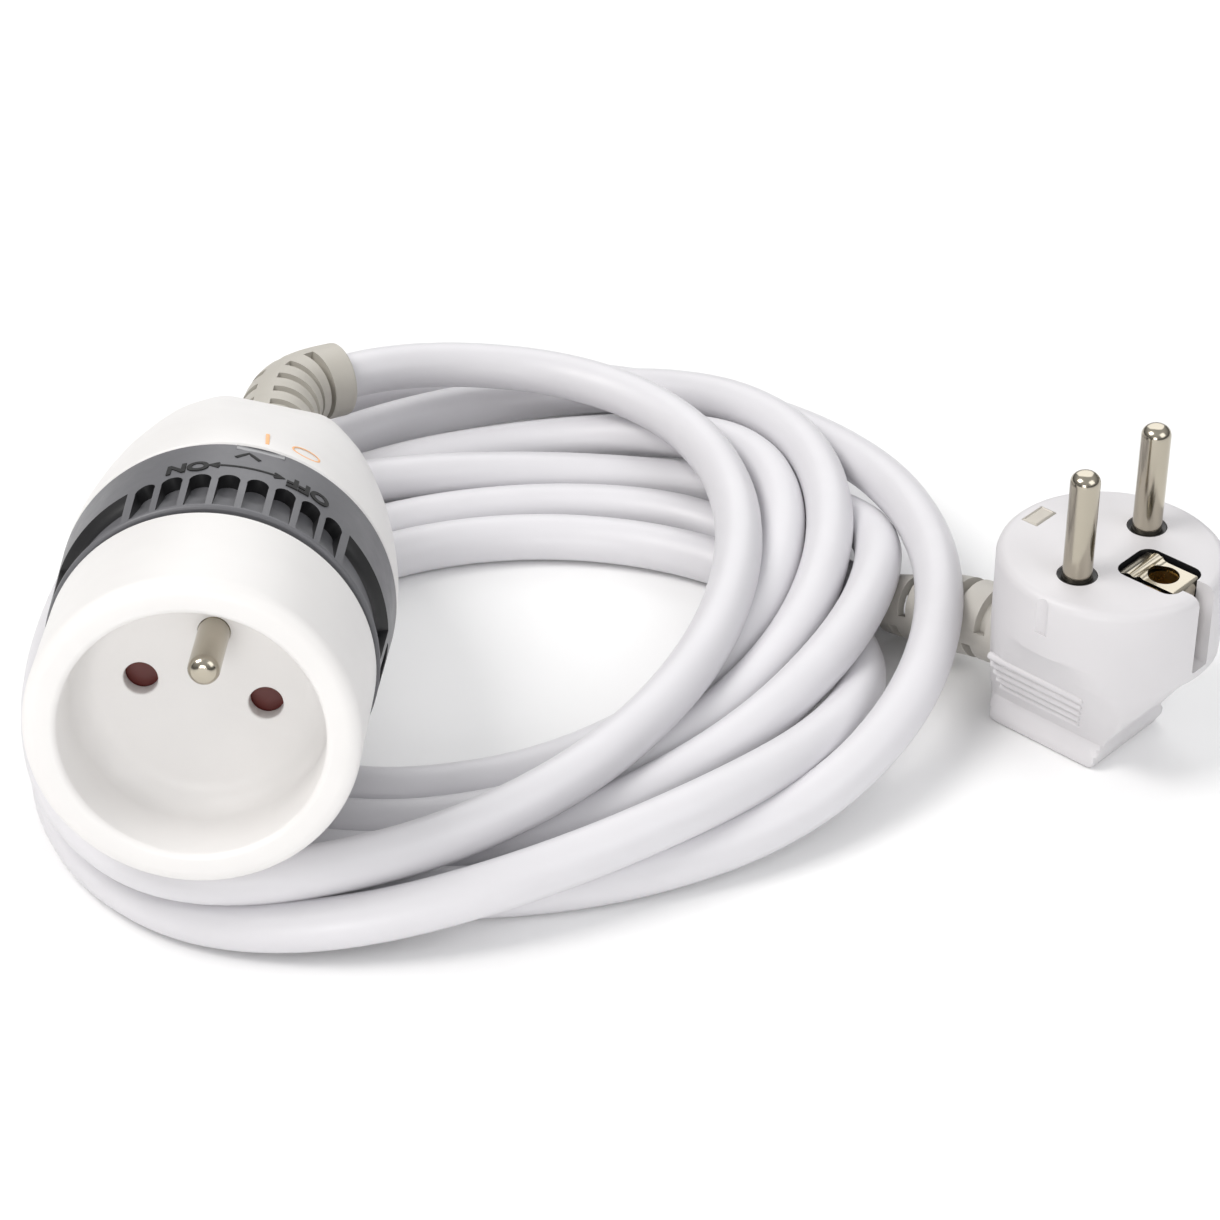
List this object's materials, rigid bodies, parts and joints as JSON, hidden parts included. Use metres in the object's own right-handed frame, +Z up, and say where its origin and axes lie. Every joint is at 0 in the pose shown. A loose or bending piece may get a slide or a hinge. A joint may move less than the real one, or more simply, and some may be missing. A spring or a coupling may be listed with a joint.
{
  "type": "extension cord",
  "caption": "Indoor extension cord: a trailing socket with a twist-ring switch, a loosely coiled light grey cord and an angled earthed plug, lying on a floor.",
  "frame": {"origin": "centre of the socket mouth, in the plane of its rim", "axes": "+Y runs back along the socket towards its cord, +Z is up from the floor the whole thing lies on, and +X is to the right when looking into the row from the mouth; the floor is 42.2 mm below the origin, and the socket axis is tilted 9.2 degrees downwards towards its cord, turned 1 degree and rolled 11.9 degrees"},
  "size_m": [0.1937, 0.1738, 0.0668],
  "materials": {
    "head_plastic": "fine satin moulding, warm white",
    "ring_plastic": "satin mid grey",
    "shutter_plastic": "satin dark red-brown",
    "carrier_plastic": "satin black, heat-resistant",
    "window_plastic": "glossy pale insert",
    "orange_print": "flat pale orange",
    "black_rubber": "matte black",
    "head_boot": "soft satin warm grey",
    "plug_plastic": "soft satin light grey",
    "plug_boot": "soft satin mid grey",
    "cord_sheath": "smooth satin light grey",
    "nickel": "nickel plate, lightly brushed",
    "brass": "plain brass",
    "steel": "zinc-plated steel",
    "wire_green_yellow": "green and yellow insulation",
    "wire_brown": "brown insulation",
    "wire_blue": "blue insulation"
  },
  "bodies": {
    "base": {"clamp_screws": "steel", "contact_carrier": "carrier_plastic", "cord_clamp": "steel", "cord_coil": "cord_sheath", "cord_end_in_head": "cord_sheath", "cord_end_in_plug": "cord_sheath", "cord_lead_head": "cord_sheath", "cord_lead_plug": "cord_sheath", "detent_ball": "steel", "detent_spring": "steel", "earth_clip": "nickel", "earth_pin": "nickel", "earth_socket_tube": "brass", "earth_strip": "nickel", "fixed_contacts": "brass", "front_cup": "head_plastic", "head_strain_relief": "head_boot", "head_wire_earth": "wire_green_yellow", "head_wire_live": "wire_brown", "head_wire_neutral": "wire_blue", "housing_screws": "steel", "live_contact": "brass", "neutral_contact": "brass", "pin_bridge": "carrier_plastic", "pin_crimps": "brass", "plug_body": "plug_plastic", "plug_pin_live": "nickel", "plug_pin_neutral": "nickel", "plug_strain_relief": "plug_boot", "plug_wire_live": "wire_brown", "plug_wire_neutral": "wire_blue", "position_marks": "orange_print", "rear_shell": "head_plastic", "ring_seal": "black_rubber", "shutter_spring": "steel", "terminal_blocks": "brass", "terminal_screws": "steel"},
    "switch": {"switch_ring": "ring_plastic", "pointer_window": "window_plastic", "contact_rotor": "carrier_plastic", "bridge_contacts": "brass"},
    "shutter": {"safety_shutter": "shutter_plastic"}
  },
  "joints": [
    {"name": "switch_twist", "type": "hinge", "parent": "base", "child": "switch", "pos_m": [0.00062, 0.03553, -0.00576], "axis": [0.0172, 0.987, -0.1599], "range_deg": [0, 14]},
    {"name": "shutter_slide", "type": "slide", "parent": "base", "child": "shutter", "axis": [-0.2089, -0.1528, -0.9659], "range_m": [0, 0.006], "stiffness_N_per_m": 50, "springref_m": -0.004, "deforming": ["shutter_spring"]}
  ]
}
